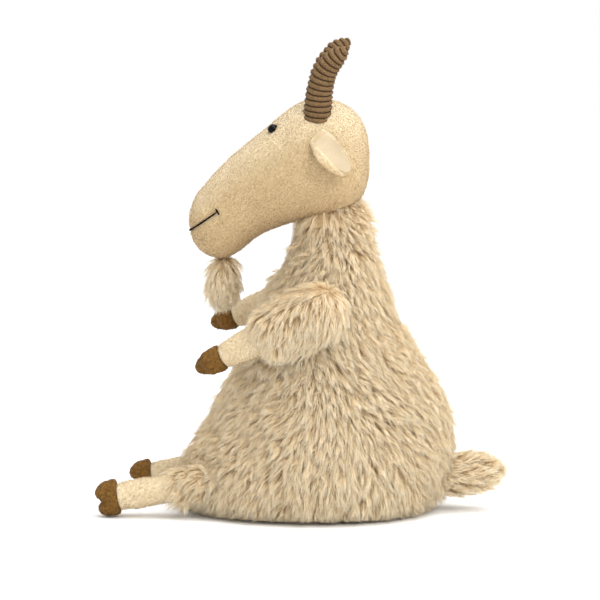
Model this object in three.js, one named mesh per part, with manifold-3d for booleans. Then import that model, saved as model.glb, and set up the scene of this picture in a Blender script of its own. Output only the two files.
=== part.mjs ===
// Seated plush goat. Millimetres, +Z up, floor at Z = 0, face towards -Y, the goat's left on +X.
// The origin is the middle of the flat seat panel. Fabric parts are drawn at the height where their pile begins.
import * as THREE from 'three';
import { mergeVertices } from 'three/addons/utils/BufferGeometryUtils.js';
import Module from 'manifold-3d';

const wasm = await Module();
wasm.setup();

// ---- driving dimensions ----
const GAP = 0.3;
const COVER = 4;
const HEAD_COVER = 2.6;
const PANEL = 3;

const NECK_TOP = 178;
const NECK = [0, 16.5, NECK_TOP];
const NECK_RADIUS = 20;

const POUCH_INSET = 18;
const POUCH_TOP = 20;

// body outline: height, front, back, half width
const BODY = [
  [0, -64, 70, 50],
  [6, -72, 78, 58],
  [16, -75, 84, 64],
  [32, -71, 89, 66],
  [48, -60, 89.6, 64],
  [56, -56.5, 88.5, 62],
  [68, -52.5, 85.5, 58.5],
  [80, -44, 79.5, 54],
  [100, -34, 67, 46],
  [123, -25, 54, 38],
  [134, -20.5, 51, 35],
  [146, -13.5, 47.3, 31],
  [158, -7, 43.3, 26.5],
  [168, -4, 39.5, 23],
  [178, -3.5, 36.5, 20],
];

// head outline along its own axis, from the back of the skull to the nose: distance, top, bottom, half width
const HEAD = [
  [-8, 40, -20, 34],
  [0, 41, -26, 34],
  [12, 41, -35, 33.5],
  [28, 38.5, -36, 33],
  [46, 34.1, -28, 31],
  [56, 32.2, -24.7, 29],
  [65, 30.5, -22.8, 27],
  [82, 26, -21.8, 23.5],
  [97, 20.5, -25, 21.5],
  [110, 15.9, -25.7, 21],
  [118.5, 12, -26, 20],
];
const HEAD_FROM = [0, 34, 228];
const HEAD_TO = [0, -70, 174];
const HEAD_BACK_ROUND = 36;
const HEAD_NOSE_ROUND = 18;
const HEAD_SQUARENESS = 2.5;

const ARM = {
  x: 48,
  y: { left: 12, right: 14 },
  z: { left: 130.5, right: 135 },
  turn: { left: -8, right: -10 },
  dip: { left: 27, right: 20 },
};
const LEG = { x: 37, z: 21.6, y: { left: -60, right: -47 }, dip: 10 };
const TAIL = { y: 84, z: 22, rise: 5 };
const BEARD = { y: -49, z: 153.2, lean: 4 };

const EYE_RADIUS = 3.1;
const EYE_STEM = 1.2;
const HORN_X = 19;
const HORN_WALL = 1.6;
// horn centre lines: sideways from HORN_X, backwards, height, radius; the right one is sewn on a little further forward
const HORN = {
  left: [
    [0, 8.5, 236, 8.8],
    [0.3, 10, 250, 8.5],
    [0.8, 11.4, 263, 7.9],
    [1.4, 14.6, 273.5, 7.2],
    [2, 20.5, 282, 6.2],
    [2.4, 27.5, 287.6, 4.6],
  ],
  right: [
    [0, 5, 236, 8.8],
    [0.3, 6.2, 250, 8.5],
    [0.8, 7.2, 263.5, 7.9],
    [1.4, 10.2, 274.8, 7.2],
    [2, 16.6, 284, 6.2],
    [2.4, 24.6, 290, 4.6],
  ],
};
const EAR_ROOT = [33, 12.4, 233.7];
const EAR_BACK = 2.4;
const EAR_LINING = 0.9;

const SIDES = { left: 1, right: -1 };

const slots = {
  long_pile: { color: 0xd9c6a4, roughness: 0.95 },
  velour: { color: 0xe6d3ae, roughness: 0.9 },
  corduroy: { color: 0x6f5434, roughness: 0.9 },
  brown_velour: { color: 0x6d4524, roughness: 0.9 },
  suede: { color: 0xf0dfc0, roughness: 0.85 },
  bead: { color: 0x090909, roughness: 0.1 },
  thread: { color: 0x15110f, roughness: 0.7 },
  filling: { color: 0xf2f0ea, roughness: 1.0 },
  plain_weave: { color: 0xd8d2c2, roughness: 0.9 },
  washer: { color: 0xe8e8e6, roughness: 0.5 },
};

// ---- solids ----
function solid(geometry, warp) {
  const position = geometry.getAttribute('position');
  const v = new THREE.Vector3();
  for (let i = 0; warp && i < position.count; i++) {
    v.fromBufferAttribute(position, i);
    warp(v);
    position.setXYZ(i, v.x, v.y, v.z);
  }
  geometry.deleteAttribute('normal');
  geometry.deleteAttribute('uv');
  const merged = mergeVertices(geometry, 1e-3);
  const index = merged.getIndex().array;
  const tris = [];
  for (let i = 0; i < index.length; i += 3) {
    const [a, b, c] = [index[i], index[i + 1], index[i + 2]];
    if (a !== b && b !== c && a !== c) tris.push(a, b, c);
  }
  const make = (list) => {
    const mesh = new wasm.Mesh({
      numProp: 3,
      vertProperties: new Float32Array(merged.getAttribute('position').array),
      triVerts: new Uint32Array(list),
    });
    return new wasm.Manifold(mesh);
  };
  const made = make(tris);
  if (made.volume() > 0) return made;
  for (let i = 0; i < tris.length; i += 3) [tris[i], tris[i + 1]] = [tris[i + 1], tris[i]];
  return make(tris);
}

function sphere(radius, [x, y, z], detail = 24) {
  const made = solid(new THREE.SphereGeometry(radius, detail, Math.round(detail / 2)));
  return made.rotate([90, 0, 0]).translate([x, y, z]);
}

function turned(made, [x, y, z], angles) {
  return made.translate([-x, -y, -z]).rotate(angles).translate([x, y, z]);
}

// the space a solid passes through as it turns about the X axis through a point
function swept(made, pivot, from, to, step) {
  let space = turned(made, pivot, [from, 0, 0]);
  for (let angle = from + step; angle <= to + 1e-6; angle += step) {
    space = space.add(turned(made, pivot, [angle, 0, 0]));
  }
  return space;
}

function table(rows) {
  const keys = rows.map((row) => row[0]);
  const values = rows.flatMap((row) => row.slice(1));
  const curve = new THREE.CubicInterpolant(keys, values, rows[0].length - 1);
  return (at) => curve.evaluate(THREE.MathUtils.clamp(at, keys[0], keys[keys.length - 1]));
}

// a closed round bar along +Y from `from` to `to`, with rounded ends of the given lengths
function barPoints(from, to, startRound, endRound, steps) {
  const points = [];
  for (let i = 0; i <= steps; i++) {
    const at = from + ((to - from) * (1 - Math.cos((Math.PI * i) / steps))) / 2;
    const short = startRound ? Math.max(0, 1 - (at - from) / startRound) : 0;
    const far = endRound ? Math.max(0, 1 - (to - at) / endRound) : 0;
    const radius = Math.sqrt(Math.max(0, 1 - short * short)) * Math.sqrt(Math.max(0, 1 - far * far));
    if (i > 0 && i < steps) points.push(new THREE.Vector2(radius, at));
  }
  if (!startRound) points.unshift(new THREE.Vector2(1, from));
  if (!endRound) points.push(new THREE.Vector2(1, to));
  return [new THREE.Vector2(0, from), ...points, new THREE.Vector2(0, to)];
}

// a limb section that runs forward along -Y from its pivot: rows of distance, radius
function limb(rows, startRound, endRound, steps = 16, around = 24) {
  const radius = table(rows);
  const from = rows[0][0];
  const to = rows[rows.length - 1][0];
  const bar = new THREE.LatheGeometry(barPoints(from, to, startRound, endRound, steps), around);
  return solid(bar, (v) => {
    const r = radius(v.y)[0];
    v.set(v.x * r, -v.y, v.z * r);
  });
}

// ---- body ----
// straight between the rows of BODY, so that shells nested in one another keep their gaps
function bodyAt(height) {
  const at = THREE.MathUtils.clamp(height, 0, NECK_TOP);
  const i = Math.max(1, BODY.findIndex((row) => row[0] >= at));
  const share = (at - BODY[i - 1][0]) / (BODY[i][0] - BODY[i - 1][0]);
  return [1, 2, 3].map((k) => THREE.MathUtils.lerp(BODY[i - 1][k], BODY[i][k], share));
}

function body(inset, from, to, around = 32) {
  const heights = BODY.map((row) => row[0]).filter((height) => height > from && height < to);
  const points = [new THREE.Vector2(0, from), new THREE.Vector2(1, from)];
  points.push(...heights.map((height) => new THREE.Vector2(1, height)));
  points.push(new THREE.Vector2(1, to), new THREE.Vector2(0, to));
  return solid(new THREE.LatheGeometry(points, around), (v) => {
    const [front, back, half] = bodyAt(v.y);
    const depth = (back - front) / 2 - inset;
    v.set(v.x * (half - inset), (front + back) / 2 + v.z * depth, v.y);
  });
}

// ---- arms, legs and tail, each drawn about its own joint ----
const sleeveRows = [[-17, 17], [0, 17], [16, 18.2], [30, 17.2], [41, 14.5]];
const legRows = [[-9, 9], [0, 9], [20, 8.6], [52, 8.5]];
const tailRows = [[-12, 12], [0, 12], [14, 13], [26, 11.5], [39, 8]];

function place(made, pivot, dip, turn = 0) {
  return made.rotate([0, 0, turn]).rotate([dip, 0, 0]).translate(pivot);
}

const pivots = {};
for (const [side, sign] of Object.entries(SIDES)) {
  pivots[`${side}_arm`] = [sign * ARM.x, ARM.y[side], ARM.z[side]];
  pivots[`${side}_leg`] = [sign * LEG.x, LEG.y[side], LEG.z];
}
const tailPivot = [0, TAIL.y, TAIL.z];

// room for each limb to turn in, plainer and a little wider than the limb
const ROOM = 1.04;
const armRoom = limb([[-17.9, 17.9], [0, 17.9], [16, 19.1], [30, 18.2], [42, 15.6], [52, 13]], 15, 3, 9, 12).scale(ROOM);
const legRoom = limb([[-9.8, 9.8], [0, 9.8], [26, 9.8]], 7, 0, 6, 12).scale(ROOM);
const tailRoom = limb([[-12.8, 12.8], [0, 12.8], [14, 13.9]], 10, 0, 6, 12).rotate([0, 0, 180]).scale(ROOM);

function pockets(extra) {
  let space = null;
  for (const side of Object.keys(SIDES)) {
    const arm = place(armRoom.scale(1 + extra / 17), pivots[`${side}_arm`], ARM.dip[side], ARM.turn[side]);
    const leg = place(legRoom.scale(1 + extra / 9), pivots[`${side}_leg`], LEG.dip);
    const armSpace = swept(arm, pivots[`${side}_arm`], -42, 14, 14);
    const legSpace = swept(leg, pivots[`${side}_leg`], -32, 10, 10.5);
    space = space ? space.add(armSpace).add(legSpace) : armSpace.add(legSpace);
  }
  const tail = place(tailRoom.scale(1 + extra / 12), tailPivot, TAIL.rise);
  return space.add(swept(tail, tailPivot, 0, 28, 14));
}

const room = pockets(0);
const innerRoom = pockets(0.6);

// ---- head ----
const headAt = table(HEAD);
const headLength = Math.hypot(HEAD_TO[1] - HEAD_FROM[1], HEAD_TO[2] - HEAD_FROM[2]);
const headTilt = THREE.MathUtils.radToDeg(Math.atan2(HEAD_FROM[2] - HEAD_TO[2], HEAD_FROM[1] - HEAD_TO[1]));

function squared(x, y) {
  const n = HEAD_SQUARENESS;
  const length = Math.hypot(x, y);
  if (length < 1e-9) return 1;
  return 1 / Math.pow(Math.pow(Math.abs(x) / length, n) + Math.pow(Math.abs(y) / length, n), 1 / n);
}

// maps a unit bar along the head's axis to the head's skin, grown by `grow`
function toHead(v, grow) {
  const [top, bottom, half] = headAt(v.y);
  const height = (top - bottom) / 2 + grow;
  const k = squared(v.x, v.z);
  return v.set(v.x * k * (half + grow), -v.y, (top + bottom) / 2 + v.z * k * height);
}

function headEnds(grow) {
  return [HEAD[0][0] - grow, HEAD[HEAD.length - 1][0] + grow];
}

function headSolid(grow, steps = 20, around = 32) {
  const [from, to] = headEnds(grow);
  const points = barPoints(from, to, HEAD_BACK_ROUND, HEAD_NOSE_ROUND, steps);
  const made = solid(new THREE.LatheGeometry(points, around), (v) => toHead(v, grow));
  return made.rotate([headTilt, 0, 0]).translate(HEAD_FROM);
}

// a point on the head's skin at a distance along the axis, and an angle up from the side
function onHead(at, angle, grow) {
  const [from, to] = headEnds(0);
  const short = Math.max(0, 1 - (at - from) / HEAD_BACK_ROUND);
  const far = Math.max(0, 1 - (to - at) / HEAD_NOSE_ROUND);
  const r = Math.sqrt(1 - short * short) * Math.sqrt(1 - far * far);
  const a = THREE.MathUtils.degToRad(angle);
  const v = toHead(new THREE.Vector3(Math.cos(a) * r, at, Math.sin(a) * r), grow);
  v.applyAxisAngle(new THREE.Vector3(1, 0, 0), THREE.MathUtils.degToRad(headTilt));
  return v.add(new THREE.Vector3(...HEAD_FROM));
}

// everything of the head below the neck seam, which slopes up towards the back
function belowSeam() {
  const block = solid(new THREE.BoxGeometry(90, 60, 60)).translate([0, 21, -30]);
  return block.rotate([18.9, 0, 0]).translate([0, 16.5, 187.3]);
}

const seamBlock = belowSeam();
const headOuter = headSolid(0).subtract(seamBlock).subtract(sphere(NECK_RADIUS + 0.9, NECK, 24));
const headKeepOut = headSolid(GAP, 20, 32);

// ---- eyes ----
function frameOn(at, angle, sign) {
  const base = onHead(at, angle, 0);
  const out = onHead(at, angle, 1).sub(base).normalize();
  base.x *= sign;
  out.x *= sign;
  const turn = new THREE.Quaternion().setFromUnitVectors(new THREE.Vector3(0, 0, 1), out);
  return new THREE.Matrix4().compose(base, turn, new THREE.Vector3(1, 1, 1));
}

function moved(made, matrix) {
  return made.transform(matrix.elements);
}

function disc(radius, from, to, around = 20) {
  const made = solid(new THREE.CylinderGeometry(radius, radius, to - from, around));
  return made.rotate([90, 0, 0]).translate([0, 0, (from + to) / 2]);
}

const EYE_AT = [41.2, 62];
const eyes = {};
let stemHoles = null;
let washerHoles = null;
for (const [side, sign] of Object.entries(SIDES)) {
  const frame = frameOn(...EYE_AT, sign);
  const dome = sphere(EYE_RADIUS, [0, 0, 0], 16).intersect(disc(6, 0.9, 8));
  eyes[side] = {
    bead: moved(dome.add(disc(EYE_STEM, -8, 1.5, 12)), frame),
    washer: moved(disc(3.6, -6, -5).subtract(disc(EYE_STEM + GAP, -6, 0)), frame),
  };
  const stem = moved(disc(EYE_STEM + GAP, -8.4, 6, 12), frame);
  const washer = moved(disc(4, -6.3, 0), frame);
  stemHoles = stemHoles ? stemHoles.add(stem) : stem;
  washerHoles = washerHoles ? washerHoles.add(washer) : washer;
}

const headCavity = headSolid(-HEAD_COVER, 14, 24);
const headCover = headOuter.subtract(headCavity).subtract(stemHoles);
const headStuffing = headSolid(-HEAD_COVER - GAP - 0.3, 14, 24)
  .subtract(seamBlock.translate([0, 0, GAP]))
  .subtract(sphere(NECK_RADIUS + 1.2, NECK, 24))
  .subtract(stemHoles)
  .subtract(washerHoles);

// ---- mouth: one embroidered line round the snout, with a short cross stitch at each end ----
function skinPoint(height, heading) {
  const from = new THREE.Vector3(0, 96, 0);
  let near = 0;
  let far = 40;
  for (let i = 0; i < 30; i++) {
    const reach = (near + far) / 2;
    const x = Math.sin(heading) * reach;
    const at = from.y + Math.cos(heading) * reach;
    const [top, bottom, half] = headAt(at);
    const end = Math.max(0, 1 - (HEAD[HEAD.length - 1][0] - at) / HEAD_NOSE_ROUND);
    const round = Math.sqrt(Math.max(1e-6, 1 - end * end));
    const v = (height - (top + bottom) / 2) / (((top - bottom) / 2) * round);
    const u = x / (half * round);
    const n = HEAD_SQUARENESS;
    const inside = at < HEAD[HEAD.length - 1][0] && Math.pow(Math.abs(u), n) + Math.pow(Math.abs(v), n) < 1;
    if (inside) near = reach;
    else far = reach;
  }
  const v = new THREE.Vector3(Math.sin(heading) * near, -(from.y + Math.cos(heading) * near), height);
  v.applyAxisAngle(new THREE.Vector3(1, 0, 0), THREE.MathUtils.degToRad(headTilt));
  return v.add(new THREE.Vector3(...HEAD_FROM));
}

function tube(points, radius, steps, around = 8) {
  const circle = new THREE.Shape().absarc(0, 0, radius, 0, Math.PI * 2);
  const settings = { steps, bevelEnabled: false, curveSegments: around, extrudePath: new THREE.CatmullRomCurve3(points) };
  return solid(new THREE.ExtrudeGeometry(circle, settings));
}

function outwards(point, by) {
  const axis = new THREE.Vector3(0, -48, 187);
  const out = point.clone().sub(axis);
  return point.clone().add(out.setLength(by));
}

const MOUTH_HALF = 94;
const mouthPoints = [];
for (let i = -14; i <= 14; i++) {
  const heading = THREE.MathUtils.degToRad((i / 14) * MOUTH_HALF);
  const sag = 3.6 - 3.2 * Math.cos((i / 14) * Math.PI * 0.5);
  mouthPoints.push(outwards(skinPoint(sag, heading), 1.3));
}
const ticks = [0, mouthPoints.length - 1].map((i) => {
  const end = mouthPoints[i];
  const x = end.x + Math.sign(end.x) * 0.1;
  return tube([new THREE.Vector3(x, end.y - 1, end.z + 1.8), new THREE.Vector3(x, end.y + 1, end.z - 1.8)], 0.7, 2);
});
const mouth = tube(mouthPoints, 0.75, 32, 3).add(ticks[0]).add(ticks[1]);

// ---- horns ----
function bent(rows, grow, from, startRound, endRound, steps = 18, around = 18) {
  const line = new THREE.CatmullRomCurve3(rows.map(([x, y, z]) => new THREE.Vector3(x, y, z)));
  const length = line.getLength();
  const keys = rows.map((row, i) => [(i / (rows.length - 1)) * length, row[3]]);
  const radius = table(keys);
  const side = new THREE.Vector3(1, 0, 0);
  const bar = new THREE.LatheGeometry(barPoints(from, length + grow, startRound, endRound, steps), around);
  return solid(bar, (v) => {
    const t = THREE.MathUtils.clamp(v.y / length, 0, 1);
    const centre = line.getPointAt(t);
    const along = line.getTangentAt(t);
    const over = v.y - t * length;
    const normal = new THREE.Vector3().crossVectors(along, side).normalize();
    const r = Math.max(0.1, radius(v.y)[0] + grow);
    const across = new THREE.Vector3().crossVectors(normal, along).normalize();
    v.copy(centre.addScaledVector(along, over).addScaledVector(across, v.x * r).addScaledVector(normal, v.z * r));
  });
}

function horn(side, sign) {
  const rows = HORN[side].map(([x, y, z, r]) => [sign * (HORN_X + x), y, z, r]);
  const skin = bent(rows, 0, -2, 0, 9).subtract(headKeepOut);
  const hollow = bent(rows, -HORN_WALL, -6, 0, 7, 14, 12);
  const filling = bent(rows, -HORN_WALL - GAP - 0.3, -2, 0, 7, 12, 10).subtract(headKeepOut.translate([0, 0, GAP]));
  return { skin: largest(skin.subtract(hollow)), filling: largest(filling) };
}

function largest(made) {
  const bodies = made.decompose();
  bodies.sort((a, b) => b.volume() - a.volume());
  return bodies[0];
}

// ---- ears ----
function earShape(shrink) {
  const shape = new THREE.Shape();
  shape.moveTo(-7 + shrink, shrink);
  shape.quadraticCurveTo(-11 + shrink, 9, -8.6 + shrink, 17);
  shape.quadraticCurveTo(-6, 25 - shrink, -1, 26 - shrink);
  shape.quadraticCurveTo(5.5 - shrink, 24, 7.6 - shrink, 14);
  shape.quadraticCurveTo(8.6 - shrink, 6, 7 - shrink, shrink);
  shape.closePath();
  return shape;
}

function earFrame(sign) {
  const root = new THREE.Vector3(sign * EAR_ROOT[0], EAR_ROOT[1], EAR_ROOT[2]);
  const u = new THREE.Vector3(0, 0.724, 0.69).normalize();
  const w = new THREE.Vector3(sign * 0.3, 0.69, -0.724).normalize();
  const n = new THREE.Vector3().crossVectors(u, w).normalize();
  if (n.x * sign < 0) n.negate();
  const frame = new THREE.Matrix4().makeBasis(u, w, n);
  return frame.setPosition(root);
}

function earLayer(shrink, from, thickness, sign) {
  const settings = { depth: thickness, bevelEnabled: false, curveSegments: 6 };
  const flat = solid(new THREE.ExtrudeGeometry(earShape(shrink), settings)).translate([0, 0, from]);
  return placedIn(flat, earFrame(sign));
}

// a frame with mirrored axes turns a solid inside out, so it is turned back
function placedIn(made, frame) {
  const result = moved(made, frame);
  return result.volume() > 0 ? result : moved(made, frame).mirror([0, 0, 0]);
}

// ---- beard ----
const beardRows = [[-4, 4.2], [0, 6.2], [8, 8.6], [18, 7], [27, 3.4]];

function beard() {
  const tuft = limb(beardRows, 4, 12, 10, 16);
  return tuft.rotate([90 - BEARD.lean, 0, 0]).scale([1.15, 1, 1]).translate([0, BEARD.y, BEARD.z]);
}

// ---- hooves: two toes side by side, or one above the other on the hind feet ----
function hoof(from, to, height, width, cleft) {
  const length = to - from;
  const toes = [-1, 1].map((way) => {
    const across = cleft === 'across';
    const toe = limb([[0, 1], [length, 1]], 3, length * 0.62, 8, 14);
    const halfHeight = across ? height * 0.31 : height * 0.5;
    const halfWidth = across ? width * 0.5 : width * 0.31;
    const shift = across ? [0, 0, way * height * 0.19] : [way * width * 0.19, 0, 0];
    return toe.scale([halfWidth, 1, halfHeight]).translate([shift[0], -from - 0.6 - way * 0.6, shift[2]]);
  });
  const heel = limb([[0, 1], [length * 0.62, 1]], 2.4, 3, 5, 16).scale([width * 0.5, 1, height * 0.5]);
  return toes[0].add(toes[1]).add(heel.translate([0, -from, 0]));
}

// ---- assembly ----
const group = new THREE.Group();
group.name = 'plush_goat';
const materials = {};
for (const [slot, { color, roughness }] of Object.entries(slots)) {
  materials[slot] = new THREE.MeshStandardMaterial({ name: slot, color, roughness, metalness: 0 });
}

function add(name, made, slot) {
  const mesh = made.getMesh();
  const geometry = new THREE.BufferGeometry();
  geometry.setAttribute('position', new THREE.BufferAttribute(new Float32Array(mesh.vertProperties), 3));
  geometry.setIndex(new THREE.BufferAttribute(new Uint32Array(mesh.triVerts), 1));
  geometry.computeVertexNormals();
  const node = new THREE.Mesh(geometry, materials[slot]);
  node.name = name;
  group.add(node);
}

const bodyOuter = body(0, 0, NECK_TOP);
const bodyCavity = body(COVER, -5, NECK_TOP + 5);
add('body_cover', largest(bodyOuter.subtract(bodyCavity).subtract(room)), 'long_pile');
add('base_panel', largest(body(COVER + GAP, 0, PANEL).subtract(room)), 'plain_weave');
add('bean_pouch', body(POUCH_INSET, PANEL + GAP, POUCH_TOP), 'plain_weave');
const pouchRoom = body(POUCH_INSET - GAP, PANEL, POUCH_TOP + GAP);
const filling = body(COVER + GAP, PANEL + GAP, NECK_TOP - GAP).subtract(pouchRoom).subtract(innerRoom);
add('body_stuffing', largest(filling), 'filling');

const dome = sphere(NECK_RADIUS, NECK, 24);
const aboveNeck = solid(new THREE.BoxGeometry(60, 60, 40)).translate([0, NECK[1], NECK_TOP + GAP + 20]);
add('neck_core', dome.intersect(aboveNeck), 'filling');

add('head_cover', largest(headCover), 'velour');
add('head_stuffing', largest(headStuffing), 'filling');
add('mouth_stitch', largest(mouth), 'thread');
add('beard', beard(), 'long_pile');

for (const [side, sign] of Object.entries(SIDES)) {
  const { skin, filling: hornFilling } = horn(side, sign);
  add(`${side}_horn`, skin, 'corduroy');
  add(`${side}_horn_stuffing`, hornFilling, 'filling');
  add(`${side}_eye`, eyes[side].bead, 'bead');
  add(`${side}_eye_washer`, eyes[side].washer, 'washer');
  add(`${side}_ear`, earLayer(0, 0, EAR_BACK, sign), 'velour');
  add(`${side}_ear_lining`, earLayer(0.8, EAR_BACK + GAP, EAR_LINING, sign), 'suede');

  const armPivot = pivots[`${side}_arm`];
  const inArm = (made) => place(made, armPivot, ARM.dip[side], ARM.turn[side]);
  const forearm = limb([[20, 12], [40, 10.8], [66.5, 8]], 0, 0, 4, 18);
  const forearmRoom = limb([[19, 12.6], [45, 11], [70, 8.4]], 0, 0, 3, 18);
  const bone = limb([[24, 5.4], [44, 5.6], [66, 5.2]], 2, 0, 5, 12);
  const boneRoom = limb([[23.6, 5.9], [44, 6.1], [70, 5.7]], 1, 0, 5, 12);
  add(`${side}_upper_arm`, inArm(limb(sleeveRows, 17, 6, 12, 24).subtract(forearmRoom)), 'long_pile');
  add(`${side}_forearm`, inArm(forearm.subtract(boneRoom)), 'velour');
  add(`${side}_arm_stuffing`, inArm(bone), 'filling');
  add(`${side}_front_hoof`, inArm(hoof(66.9, 84.3, 17, 17, 'along')), 'brown_velour');

  const legPivot = pivots[`${side}_leg`];
  const inLeg = (made) => place(made, legPivot, LEG.dip);
  const legFilling = limb([[-6.2, 6.2], [0, 6.2], [20, 5.8], [51.4, 5.6]], 6.2, 0, 7, 12);
  const legHollow = limb([[-6.8, 6.7], [0, 6.7], [20, 6.3], [56, 6.1]], 6.5, 0, 8, 12);
  add(`${side}_leg`, inLeg(limb(legRows, 9, 0, 9, 20).subtract(legHollow)), 'velour');
  add(`${side}_leg_stuffing`, inLeg(legFilling), 'filling');
  add(`${side}_hind_hoof`, inLeg(hoof(52.4, 65.6, 21, 17, 'across')), 'brown_velour');
}

const inTail = (made) => place(made.rotate([0, 0, 180]), tailPivot, TAIL.rise);
const tailHollow = limb([[-9, 8], [0, 8.4], [14, 9.2], [26, 7.6], [34, 4]], 8, 6, 8, 14);
const tailFilling = limb([[-8.6, 7.7], [0, 8], [14, 8.8], [26, 7.2], [33.5, 3.6]], 7.7, 6, 8, 12);
const tailSlit = limb([[-14, 4], [-4, 4]], 0, 0, 3, 14);
add('tail', inTail(limb(tailRows, 12, 8, 11, 20).subtract(tailHollow).subtract(tailSlit)), 'long_pile');
add('tail_stuffing', inTail(tailFilling), 'filling');

export default group;
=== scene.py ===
import math

import bpy
import numpy as np
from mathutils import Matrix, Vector, kdtree


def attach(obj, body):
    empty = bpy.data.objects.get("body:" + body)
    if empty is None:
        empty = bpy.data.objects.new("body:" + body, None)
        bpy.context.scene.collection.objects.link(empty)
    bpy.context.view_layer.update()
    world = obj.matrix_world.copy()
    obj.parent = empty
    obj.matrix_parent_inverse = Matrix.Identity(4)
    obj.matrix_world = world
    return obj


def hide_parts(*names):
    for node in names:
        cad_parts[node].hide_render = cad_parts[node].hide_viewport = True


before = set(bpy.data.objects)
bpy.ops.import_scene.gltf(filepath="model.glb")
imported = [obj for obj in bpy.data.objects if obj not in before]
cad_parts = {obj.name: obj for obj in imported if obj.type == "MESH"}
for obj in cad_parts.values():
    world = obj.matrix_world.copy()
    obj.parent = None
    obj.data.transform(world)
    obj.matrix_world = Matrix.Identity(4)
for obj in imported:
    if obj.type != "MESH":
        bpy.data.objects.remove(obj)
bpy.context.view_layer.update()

MM = 0.001
SIDES = {"left": 1.0, "right": -1.0}
UP = np.array([0.0, 0.0, 1.0])

# ---- the part's own dimensions, in millimetres, as in its CAD ----
NECK = np.array([0.0, 16.5, 178.0])
NECK_SOCKET = 20.7
NECK_SEAM = (16.5, 187.3)
NECK_SLOPE = math.tan(math.radians(18.9))

BODY = np.array([
    [0, -62, 68, 48], [3, -68.5, 75, 54.5], [8, -73, 80, 60], [16, -75, 84, 64], [32, -71, 89, 66],
    [48, -61, 89.6, 64], [56, -56.5, 88.5, 62], [68, -50.5, 85.5, 58.5], [80, -44, 79.5, 54],
    [100, -34, 67, 46],
    [123, -25, 54, 38], [134, -20.5, 51, 35], [146, -13.5, 47.3, 31], [158, -7.5, 43.3, 26.5],
    [168, -4.5, 39.5, 23], [178, -3.5, 36.5, 20],
])
HEAD = np.array([
    [-8, 40, -20, 34], [0, 41, -26, 34], [12, 41, -35, 33.5], [28, 38.5, -36, 33],
    [46, 34.1, -28, 31], [56, 32.2, -24.7, 29], [65, 30.5, -22.8, 27], [82, 26, -21.8, 23.5],
    [97, 20.5, -25, 21.5], [110, 15.9, -25.7, 21], [118.5, 12, -26, 20],
])
HEAD_FROM = np.array([0.0, 34.0, 228.0])
HEAD_TILT = math.atan2(54, 104)
HEAD_BACK, HEAD_NOSE, HEAD_SQUARE = 36.0, 18.0, 2.5
HORN_X = 19.0
HORN = {
    "left": np.array([
        [0, 8.5, 236, 8.8], [0.3, 10, 250, 8.5], [0.8, 11.4, 263, 7.9],
        [1.4, 14.6, 273.5, 7.2], [2, 20.5, 282, 6.2], [2.4, 27.5, 287.6, 4.6],
    ]),
    "right": np.array([
        [0, 6.4, 236, 8.8], [0.3, 7.8, 250, 8.5], [0.8, 9.4, 263.5, 7.9],
        [1.4, 12.6, 274.8, 7.2], [2, 18.8, 284, 6.2], [2.4, 26.6, 290, 4.6],
    ]),
}
ARM_PIVOT = {"left": np.array([48.0, 12.0, 130.5]), "right": np.array([-48.0, 14.0, 135.0])}
ARM_DIP = {"left": 27.0, "right": 20.0}
ARM_TURN = {"left": -8.0, "right": -10.0}
LEG_Y = {"left": -60.0, "right": -47.0}
FRONT_HOOF = {"left": (84.2, 7.8, 8.2), "right": (82.0, 7.4, 7.8)}
FOREARM_BARE = (34, 66.8)
FRONT_HOOF_START, FRONT_HOOF_PILE = 66.4, 66.9
LEG_X, LEG_Z, LEG_DIP = 37.0, 21.6, 10.0
LEG_BARE, THIGH_PILE_END = (0, 52.8), 16
HIND_HOOF_START, HIND_HOOF_END, HIND_HOOF_PILE = 52.0, 65.8, 52.6
HIND_HOOF_TALL, HIND_HOOF_WIDE, HIND_HOOF_LEAN = 10.5, 8.5, 8
EAR_ROOT = np.array([33.0, 12.4, 233.7])
TAIL_PIVOT = np.array([0.0, 84.0, 22.0])


# ---- small maths ----
def unit(v):
    return v / np.maximum(np.linalg.norm(v, axis=-1, keepdims=True), 1e-9)


def smooth(rows, at):
    """Cubic through rows of (key, values...), one result column per value."""
    keys, values = rows[:, 0], rows[:, 1:]
    at = np.clip(np.asarray(at, float), keys[0], keys[-1])
    slopes = np.gradient(values, keys, axis=0)
    i = np.clip(np.searchsorted(keys, at, side="right") - 1, 0, len(keys) - 2)
    h = (keys[i + 1] - keys[i])[..., None]
    t = ((at - keys[i])[..., None]) / h
    a = (1 + 2 * t) * (1 - t) ** 2 * values[i] + t * (1 - t) ** 2 * h * slopes[i]
    b = t * t * (3 - 2 * t) * values[i + 1] + t * t * (t - 1) * h * slopes[i + 1]
    return np.moveaxis(a + b, -1, 0)


def turn_x(points, degrees):
    a = math.radians(degrees)
    x, y, z = points[..., 0], points[..., 1], points[..., 2]
    return np.stack([x, y * math.cos(a) - z * math.sin(a), y * math.sin(a) + z * math.cos(a)], -1)


def turn_z(points, degrees):
    a = math.radians(degrees)
    x, y, z = points[..., 0], points[..., 1], points[..., 2]
    return np.stack([x * math.cos(a) - y * math.sin(a), x * math.sin(a) + y * math.cos(a), z], -1)


def round_end(at, start, end, start_round, end_round):
    near = np.clip(1 - (at - start) / max(start_round, 1e-6), 0, 1)
    far = np.clip(1 - (end - at) / max(end_round, 1e-6), 0, 1)
    return np.sqrt(np.maximum(0, 1 - near**2)) * np.sqrt(np.maximum(0, 1 - far**2))


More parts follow.
